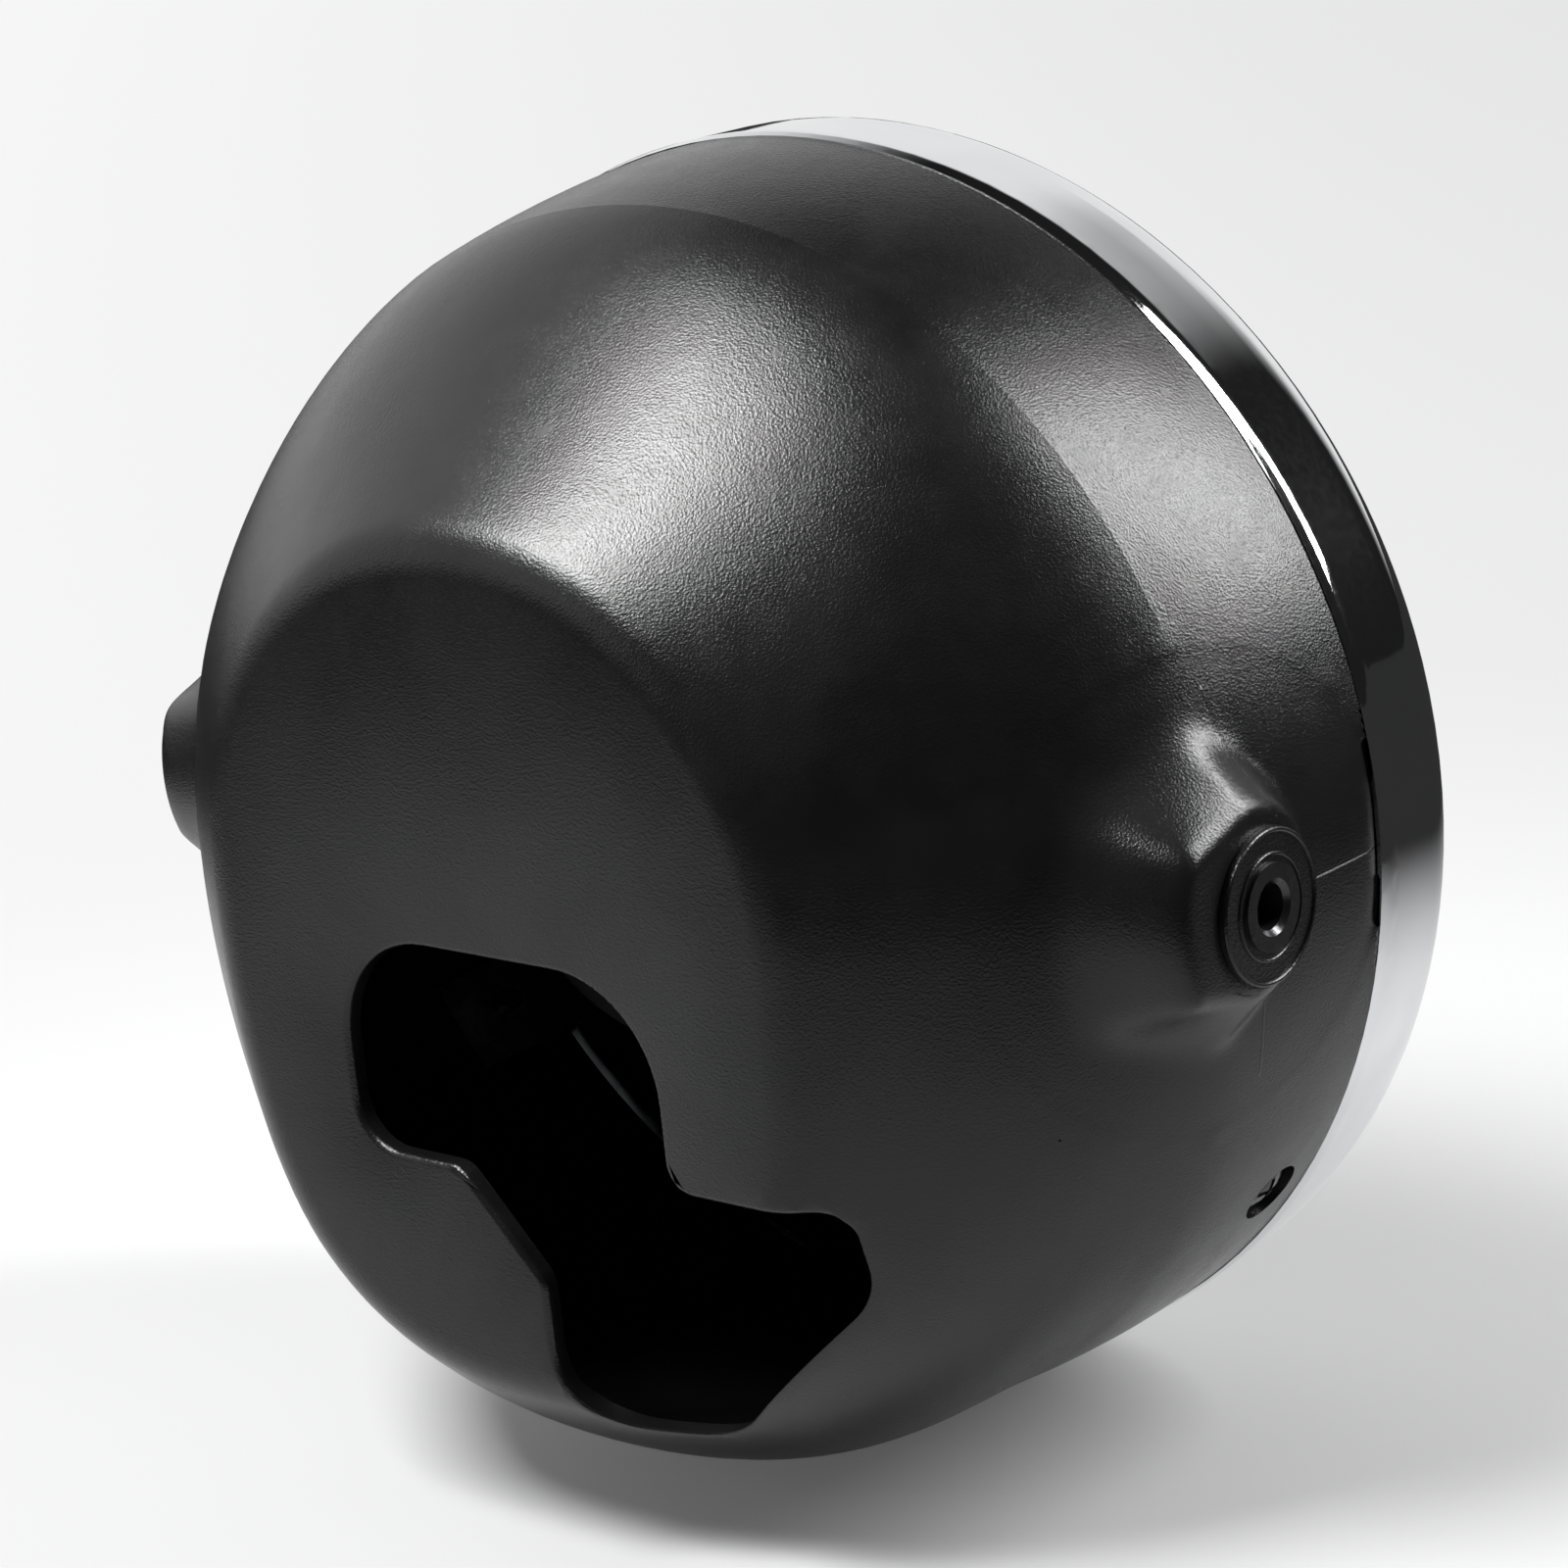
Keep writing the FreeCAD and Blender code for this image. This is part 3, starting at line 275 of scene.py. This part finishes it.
for side, name in ((1, "right_net"), (-1, "left_net")):
    bpy.ops.mesh.primitive_circle_add(
        vertices=NET_SPOKES,
        radius=NET_OUTER,
        location=(side * NET_START, 0, 0),
        rotation=(0, side * math.pi / 2, 0),
    )
    net = bpy.context.object
    net.name = name
    bpy.ops.object.transform_apply(location=True, rotation=True)
    bpy.ops.object.mode_set(mode="EDIT")
    bpy.ops.mesh.select_all(action="SELECT")
    radius = NET_OUTER
    while radius > NET_INNER:
        bpy.ops.mesh.extrude_edges_indiv()
        smaller = max(radius - NET_STEP, NET_INNER)
        bpy.ops.transform.resize(value=(1, smaller / radius, smaller / radius))
        radius = smaller
    bpy.ops.object.mode_set(mode="OBJECT")
    wrap = net.modifiers.new("wrap", "SHRINKWRAP")
    wrap.wrap_method = "PROJECT"
    wrap.use_project_x = True
    wrap.use_positive_direction = side < 0
    wrap.use_negative_direction = side > 0
    wrap.target = bucket
    bpy.ops.object.modifier_apply(modifier="wrap")
    if side * net.data.polygons[0].normal.x < 0:
        net.data.flip_normals()
    bpy.ops.object.mode_set(mode="EDIT")
    choose(net, "VERT", near_mount(side, FOOT_ZONE))
    bpy.ops.mesh.vertices_smooth(factor=EASE_SHARE, repeat=FOOT_EASE)
    choose(net, "VERT", near_mount(side, BLOCK_ZONE))
    bpy.ops.mesh.vertices_smooth(factor=EASE_SHARE, repeat=BLOCK_EASE)
    bpy.ops.mesh.select_all(action="SELECT")
    bpy.ops.transform.translate(value=(side * NET_LIFT, 0, 0))
    bpy.ops.object.mode_set(mode="OBJECT")
    bpy.ops.object.shade_smooth()

    # What the net covers goes from the bucket, and the net joins it
    net.select_set(False)
    bucket.select_set(True)
    bpy.context.view_layer.objects.active = bucket
    bpy.ops.object.mode_set(mode="EDIT")
    choose(bucket, "FACE", near_mount(side, COVERED_ZONE))
    bpy.ops.mesh.delete(type="FACE")
    bpy.ops.object.mode_set(mode="OBJECT")
    net.select_set(True)
    bpy.ops.object.join()
    bpy.ops.object.select_all(action="DESELECT")

# Two thin beads run round each mount's collar
COLLAR_FACE = 0.1025
COLLAR_BEADS = ((0.0111, 0.0004), (0.0077, 0.0003))

for side in (1, -1):
    for bead, thick in COLLAR_BEADS:
        bpy.ops.mesh.primitive_torus_add(
            major_radius=bead,
            minor_radius=thick,
            major_segments=128,
            minor_segments=10,
            location=(side * COLLAR_FACE, 0, 0),
            rotation=(0, math.pi / 2, 0),
        )
        bpy.ops.object.transform_apply(location=True, rotation=True)
        bucket.select_set(True)
        bpy.context.view_layer.objects.active = bucket
        bpy.ops.object.join()
        bucket.select_set(False)

# The crease between band and dome stays crisp, though it turns by a small angle
CREASE_BACK = 0.0002
CREASE_RADIUS = 0.0958
CREASE_SLACK = 3e-4
BUCKET_SHARP = math.radians(32)

bucket.select_set(True)
bpy.ops.mesh.customdata_custom_splitnormals_clear()
bpy.ops.object.shade_smooth_by_angle(angle=BUCKET_SHARP)
bucket.select_set(False)
mesh = bmesh.new()
mesh.from_mesh(bucket.data)
for edge in mesh.edges:
    if all(
        abs(end.co.y - CREASE_BACK) < SAME_PLANE
        and abs(math.hypot(end.co.x, end.co.z) - CREASE_RADIUS) < CREASE_SLACK
        for end in edge.verts
    ):
        edge.smooth = False
mesh.to_mesh(bucket.data)
mesh.free()

# The grain is small pebbles with finer creases over them
PLASTIC_BLACK = (0.0035, 0.0035, 0.0036)
PLASTIC_WORN = (0.006, 0.006, 0.0061)
GRAIN_CELL = 0.00042
CREASE_WAVE = 0.0002625
PEBBLE_DEPTH = 0.0000348
CREASE_DEPTH = 0.0000406

bucket_plastic = Finish("bucket_plastic", Specular_IOR_Level=0.35)
place = bucket_plastic.place
pebbles = place.cells(1 / GRAIN_CELL)
creases = place.noise(1 / CREASE_WAVE, roughness=0.6)
grain = pebbles * PEBBLE_DEPTH + creases * CREASE_DEPTH

# A shallow field lies beside the right mount. Each pair of numbers is where a soft edge of it
# begins and ends
FIELD_FOOT = (-0.0022, -0.0019)
FIELD_TOP = (0.0241, 0.0244)
FIELD_REAR = (0.0125, 0.0128)
FIELD_INSIDE = (0.06, 0.061)
FIELD_DEPTH = 0.0003

across = place.part(0)
along = place.part(1)
up = place.part(2)
field = (
    up.step(*FIELD_FOOT)
    * (1 - up.step(*FIELD_TOP))
    * along.step(*FIELD_REAR)
    * across.step(*FIELD_INSIDE)
)

# The moulds' parting line crosses the right mount's block, from its collar to its foot
PARTING_TILT = 0.075
PARTING_PLACE = 0.0052
PARTING_WIDTH = (0.0001, 0.00025)
PARTING_INSIDE = (0.088, 0.089)
PARTING_COLLAR_SQUARED = (0.00016, 0.00017)
PARTING_FOOT_SQUARED = (0.0009, 0.00095)
PARTING_HEIGHT = 0.00012

off_line = place.math("ABSOLUTE", along + up * PARTING_TILT - PARTING_PLACE)
off_axis_squared = along * along + up * up
line = (
    (1 - off_line.step(*PARTING_WIDTH))
    * across.step(*PARTING_INSIDE)
    * off_axis_squared.step(*PARTING_COLLAR_SQUARED)
    * (1 - off_axis_squared.step(*PARTING_FOOT_SQUARED))
)
relief = grain - field * FIELD_DEPTH + line * PARTING_HEIGHT
bucket_plastic.set(
    Base_Color=place.noise(35.0, detail=4.0).step(0.42, 0.62).between(PLASTIC_BLACK, PLASTIC_WORN),
    Roughness=place.noise(180.0, detail=1.0).span(0.21, 0.3),
    Normal=relief.bump(1.0),
)
paint(bucket, bucket_plastic)


# The trim ring is rolled and spun from thin sheet and chrome plated. It is bright all over, with
# the faint unevenness that spinning leaves.
ring_chrome = Finish("ring_chrome", Metallic=1.0)
place = ring_chrome.place
ring_chrome.set(
    Base_Color=place.noise(60.0).step(0.3, 0.7).between((0.80, 0.81, 0.83), (0.86, 0.865, 0.875)),
    Roughness=place.noise(900.0, detail=3.0).span(0.03, 0.08),
    Normal=place.noise(22.0, detail=1.0).bump(0.0006, strength=0.35),
)

# Its rear edge is rolled in toward the bucket, in sections at these places and radii
RING_RADIUS = 0.1
RING_SLACK = 1e-4
ROLL = ((0.0362, 0.1), (0.0352, 0.09995), (0.0343, 0.09982), (0.0336, 0.09966), (0.0332, 0.0995))
RING_SHARP = math.radians(28)

ring = joined_copy("trim_ring", "rolled_ring")
bpy.context.view_layer.objects.active = ring
ring.select_set(True)
bpy.ops.mesh.customdata_custom_splitnormals_clear()
bpy.ops.object.mode_set(mode="EDIT")
for back, radius in ROLL:
    bpy.ops.mesh.select_all(action="SELECT")
    bpy.ops.mesh.bisect(plane_co=(0, back, 0), plane_no=(0, 1, 0))
    choose(
        ring,
        "VERT",
        lambda place, normal: abs(place.y - back) < SAME_PLANE
        and abs(math.hypot(place.x, place.z) - RING_RADIUS) < RING_SLACK,
    )
    bpy.ops.transform.resize(value=(radius / RING_RADIUS, 1, radius / RING_RADIUS))
bpy.ops.object.mode_set(mode="OBJECT")
bpy.ops.object.shade_smooth_by_angle(angle=RING_SHARP)
ring.select_set(False)
paint(ring, ring_chrome)


# The small steel pieces that hold the ring, the lens unit and the bulb are zinc plated, dull and
# slightly mottled.
ZINC_DARK = (0.48, 0.49, 0.5)
ZINC_PALE = (0.62, 0.62, 0.6)

plated_steel = Finish("plated_steel", Metallic=1.0)
place = plated_steel.place
plated_steel.set(
    Base_Color=place.noise(300.0, detail=4.0).step(0.35, 0.65).between(ZINC_DARK, ZINC_PALE),
    Roughness=place.noise(700.0, detail=3.0).span(0.28, 0.48),
    Normal=place.noise(1500.0).bump(0.00004),
)
for node in (
    "ring_hook",
    "left_ring_bracket",
    "right_ring_bracket",
    "ring_nuts",
    "ring_lugs",
    "retaining_screws",
    "bulb_seat",
    "seat_rivets",
):
    paint(nodes[node], plated_steel)


# The retaining ring is pressed from sheet steel and painted black. Three screws draw it toward the
# lugs that catch in the trim ring's corner, so that it clamps the reflector and the lens.
retainer_paint = Finish("retainer_paint", Specular_IOR_Level=0.6)
place = retainer_paint.place
retainer_paint.set(
    Base_Color=place.noise(120.0, detail=3.0).between((0.012, 0.012, 0.013), (0.022, 0.022, 0.024)),
    Roughness=place.noise(400.0).span(0.25, 0.4),
    Normal=place.noise(900.0).bump(0.00005),
)
paint(nodes["retaining_ring"], retainer_paint)


# The two ring screws and the mount bushes are turned from steel and blackened with oxide, oiled and
# glossy. The screws hold the trim ring, and the bushes take the bolts that the headlight hangs on.
black_oxide = Finish("black_oxide", Metallic=0.85)
place = black_oxide.place
black_oxide.set(
    Base_Color=place.noise(500.0, detail=3.0).between((0.035, 0.035, 0.037), (0.07, 0.07, 0.072)),
    Roughness=place.noise(1200.0).span(0.16, 0.32),
    Normal=place.noise(2200.0).bump(0.00002),
)
for node in ("ring_screws", "left_mount_bush", "right_mount_bush"):
    paint(nodes[node], black_oxide)


# The seal in front of the lens's flange, the boot over the bulb and the small lamp's holder are
# moulded rubber. The boot is pulled over the reflector's neck and the holder pushed into its bowl.
soft_rubber = Finish("soft_rubber", Specular_IOR_Level=0.4)
place = soft_rubber.place
soft_rubber.set(
    Base_Color=place.noise(200.0, detail=3.0).between((0.014, 0.014, 0.014), (0.026, 0.026, 0.025)),
    Roughness=place.noise(800.0).span(0.5, 0.7),
    Normal=place.noise(1800.0, detail=3.0).bump(0.00006),
)
for node in ("lens_seal", "dust_boot", "position_lamp_holder"):
    paint(nodes[node], soft_rubber)


# The lens is pressed glass, clear and polished outside. Its flange is clamped between the seal and
# the reflector's rim.
lens_glass = Finish("lens_glass", IOR=1.5, Transmission_Weight=1.0, Base_Color=(0.97, 0.985, 0.99))
place = lens_glass.place
lens_glass.set(Roughness=place.noise(90.0).span(0.01, 0.03))
paint(nodes["headlamp_lens"], lens_glass)


# The reflector is drawn steel, aluminised under a clear lacquer. The retaining ring presses on its
# rim from behind.
reflector_mirror = Finish("reflector_mirror", Metallic=1.0)
place = reflector_mirror.place
reflector_mirror.set(
    Base_Color=place.noise(80.0).between((0.86, 0.87, 0.88), (0.9, 0.905, 0.91)),
    Roughness=place.noise(600.0).span(0.05, 0.1),
)
paint(nodes["reflector_bowl"], reflector_mirror)


# The bulb has a steel base and shield, a quartz capsule and a ceramic insulator with brass blades,
# and a wire spring holds it down. The small lamp's bulb is the same glass.
bulb_metal = Finish("bulb_metal", Metallic=1.0)
place = bulb_metal.place
bulb_metal.set(
    Base_Color=place.noise(250.0).between((0.55, 0.55, 0.54), (0.66, 0.65, 0.63)),
    Roughness=place.noise(900.0).span(0.22, 0.42),
)
for node in ("bulb_base", "filament_cage"):
    paint(nodes[node], bulb_metal)

bulb_glass = Finish("bulb_glass", IOR=1.46, Transmission_Weight=1.0, Base_Color=(0.98, 0.98, 0.98))
place = bulb_glass.place
bulb_glass.set(Roughness=place.noise(300.0).span(0.0, 0.03))
for node in ("bulb_capsule", "position_lamp_bulb"):
    paint(nodes[node], bulb_glass)

bulb_ceramic = Finish("bulb_ceramic")
place = bulb_ceramic.place
bulb_ceramic.set(
    Base_Color=place.noise(400.0, detail=3.0).between((0.62, 0.6, 0.54), (0.72, 0.7, 0.64)),
    Roughness=place.noise(900.0).span(0.45, 0.65),
    Normal=place.noise(1500.0).bump(0.00004),
)
paint(nodes["bulb_insulator"], bulb_ceramic)

blade_brass = Finish("blade_brass", Metallic=1.0)
place = blade_brass.place
blade_brass.set(
    Base_Color=place.noise(500.0).between((0.62, 0.44, 0.19), (0.72, 0.55, 0.28)),
    Roughness=place.noise(1200.0).span(0.3, 0.45),
)
paint(nodes["bulb_terminals"], blade_brass)

spring_steel = Finish("spring_steel", Metallic=1.0)
place = spring_steel.place
spring_steel.set(
    Base_Color=place.noise(600.0).between((0.42, 0.42, 0.43), (0.56, 0.56, 0.56)),
    Roughness=place.noise(1500.0).span(0.3, 0.45),
)
paint(nodes["bulb_spring_clip"], spring_steel)


# The floor is a plain pale sheet that takes the headlight's soft shadow. It glows by itself too,
# more with distance, so that it fades into the white room, and its glow is painted dimmer toward
# the right, a painted falloff of the light. In the plating and the plastic it ends close by, and
# past the sheet they reflect a painted dark. The radii are from its middle, or from the sheet's.
FLOOR_SIDE = 9.0
FLOOR_GAP = 0.0005
FLOOR_GREY = (0.43, 0.43, 0.432)
GLOW_LEFT = (0.98, 0.98, 0.985)
GLOW_RIGHT = (0.8, 0.8, 0.805)
GLOW_DIM = (0.03, 0.03, 0.03)
RIGHT_ACROSS = 0.77
RIGHT_ALONG = 0.63
GLOW_ENDS = (-0.6, 0.5)
SEEN_RADII = (0.03, 0.45)
SEEN_SHARE = (0.1, 0.95)
MIRRORED_RADII = (0.06, 0.18)
MIRRORED_SHARE = (0.05, 0.95)
SHEET_MIDDLE = (-0.05, -0.06, -0.1)
SHEET_RADII = (0.26, 0.44)


def ray(tree, kind):
    """1 for a ray of this kind and 0 for all others."""
    return Socket.node(tree, "ShaderNodeLightPath", {}, {}, output=f"Is {kind} Ray")


lowest = cad_box[0].z
bpy.ops.mesh.primitive_plane_add(size=FLOOR_SIDE, location=(0, 0, lowest - FLOOR_GAP))
floor = bpy.context.object
floor.name = "floor"
floor_sheet = Finish("floor_sheet", Base_Color=FLOOR_GREY, Roughness=0.9, Specular_IOR_Level=0.2)
place = floor_sheet.place
tree = place.tree
away = place.length()
share = (
    ray(tree, "Camera") * away.step(*SEEN_RADII).span(*SEEN_SHARE)
    + ray(tree, "Glossy") * away.step(*MIRRORED_RADII).span(*MIRRORED_SHARE)
    + ray(tree, "Transmission")
)
# Painted falloff of the light: the glow's colour goes from brighter on the left to dimmer on the
# right
rightward = place.part(0) * RIGHT_ACROSS + place.part(1) * RIGHT_ALONG
glow_colour = rightward.step(*GLOW_ENDS).between(GLOW_LEFT, GLOW_RIGHT)
# Painted dark in reflections: glossy rays that meet the floor far from the sheet see a dim glow
past_sheet = ray(tree, "Glossy") * place.shift(SHEET_MIDDLE).length().step(*SHEET_RADII)

lit = Socket(tree, floor_sheet.shader.outputs["BSDF"])
glow = Socket.node(tree, "ShaderNodeEmission", {}, {"Color": glow_colour})
dim = Socket.node(tree, "ShaderNodeEmission", {}, {"Color": (*GLOW_DIM, 1)})
near = Socket.node(tree, "ShaderNodeMixShader", {}, {"Fac": share, 1: lit, 2: glow})
surface = Socket.node(tree, "ShaderNodeMixShader", {}, {"Fac": past_sheet, 1: near, 2: dim})
tree.links.new(surface.output, tree.nodes["Material Output"].inputs["Surface"])
paint(floor, floor_sheet)


# The room is white where the camera looks at it. In the plating and the plastic it is a white wall
# on the lamp's left and a slightly dimmer one low ahead of it, and dark elsewhere.
ROOM_DARK = 0.012
ROOM_WHITE = 0.95
LEFT_WALL = (0.35, 0.8)
AHEAD_WALL = (0.5, 0.7)
AHEAD_TOP = (0.48, 0.62)
AHEAD_RIGHT = (-0.1, 0.25)
AHEAD_SHARE = 0.9

world = bpy.data.worlds.new("room")
bpy.context.scene.world = world
world.use_nodes = True
tree = world.node_tree
toward = Socket.node(tree, "ShaderNodeTexCoord", {}, {}, output="Generated")
wall = (toward.part(0) * -1.0).step(*LEFT_WALL)
ahead = (
    toward.part(1).step(*AHEAD_WALL)
    * (1 - toward.part(2).step(*AHEAD_TOP))
    * (1 - toward.part(0).step(*AHEAD_RIGHT))
)
mirrored = wall.math("MAXIMUM", wall, ahead * AHEAD_SHARE).span(ROOM_DARK, ROOM_WHITE)
seen = ray(tree, "Camera")
strength = seen * ROOM_WHITE + (1 - seen) * mirrored
background = tree.nodes["Background"]
background.inputs["Color"].default_value = (1, 1, 1, 1)
tree.links.new(strength.output, background.inputs["Strength"])


# The lamps are soft boxes that look at the headlight: a large one overhead on the left, a weak one
# behind it on the left, and a tall one ahead of it on the right.
LAMP_DISTANCE = 1.1


def soft_box(name, toward, width, height, radiance):
    """A rectangular lamp in that direction, which looks equally bright at any size."""
    direction = Vector(toward).normalized()
    data = bpy.data.lights.new(name, "AREA")
    data.shape = "RECTANGLE"
    data.size = width
    data.size_y = height
    data.energy = radiance * width * height * math.pi
    light = bpy.data.objects.new(name, data)
    light.location = direction * LAMP_DISTANCE
    light.rotation_euler = direction.to_track_quat("Z", "Y").to_euler()
    bpy.context.scene.collection.objects.link(light)


soft_box("overhead_light", (-0.22, -0.4, 0.88), width=0.5, height=0.45, radiance=40.0)
soft_box("back_fill", (-0.35, -0.85, 0.38), width=0.4, height=0.35, radiance=1.5)
soft_box("side_light", (0.6, 0.6, 0.58), width=0.28, height=0.8, radiance=27.0)


# The camera stands behind the headlight, to its right and a little above it, and leans to one side.
# Its place and its long lens were fitted to the outlines of the ring and the bucket.
VIEW_AZIMUTH = math.radians(40.762)
VIEW_ELEVATION = math.radians(17.354)
VIEW_LEAN = math.radians(-6.012)
VIEW_DISTANCE = 0.8
VIEW_LENS = 116.25
AIM = Vector((0, 0.0332, 0))
AIM_RIGHT = -0.009915
AIM_UP = -0.004183
NEAREST = 0.01
FARTHEST = 100

back = Vector(
    (
        math.sin(VIEW_AZIMUTH) * math.cos(VIEW_ELEVATION),
        -math.cos(VIEW_AZIMUTH) * math.cos(VIEW_ELEVATION),
        math.sin(VIEW_ELEVATION),
    )
)
turn = back.to_track_quat("Z", "Y") @ Quaternion((0, 0, 1), VIEW_LEAN)
camera_data = bpy.data.cameras.new("camera")
camera_data.lens = VIEW_LENS
camera_data.clip_start = NEAREST
camera_data.clip_end = FARTHEST
camera = bpy.data.objects.new("camera", camera_data)
bpy.context.scene.collection.objects.link(camera)
camera.rotation_mode = "QUATERNION"
camera.rotation_quaternion = turn
camera.location = AIM + back * VIEW_DISTANCE + turn @ Vector((AIM_RIGHT, AIM_UP, 0))
bpy.context.scene.camera = camera
bpy.context.scene.view_settings.view_transform = "Standard"
